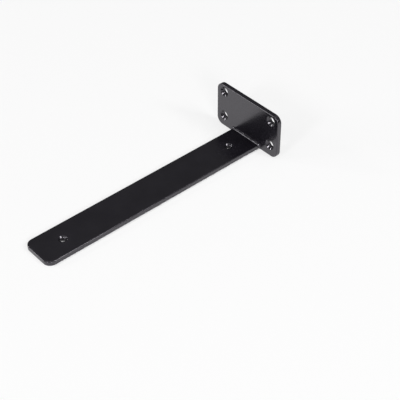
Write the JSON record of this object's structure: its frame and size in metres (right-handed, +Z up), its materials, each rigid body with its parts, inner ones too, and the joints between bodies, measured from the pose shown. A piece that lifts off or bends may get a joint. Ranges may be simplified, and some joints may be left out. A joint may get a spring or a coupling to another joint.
{
  "type": "floating shelf bracket",
  "caption": "L-shaped shelf bracket: a flat steel arm with a rounded tip, welded square to a wall plate, with screw holes countersunk on the inner faces, in black powder coat.",
  "frame": {"origin": "centre of the plate's screw holes, on the face that lies against the wall", "axes": "+Y into the wall, +X across the plate, +Z from the arm towards the plate's free edge; the arm runs out from the wall along -Y. The bracket lies in the picture with +Z up; under a shelf it is turned over, so that the arm's flat outer face carries the board"},
  "size_m": [0.0874, 0.2635, 0.05],
  "materials": {
    "powder_coat": "black semi-gloss powder coat"
  },
  "bodies": {
    "root": {"wall_plate": "powder_coat", "shelf_arm": "powder_coat", "weld_bead": "powder_coat"}
  },
  "joints": []
}
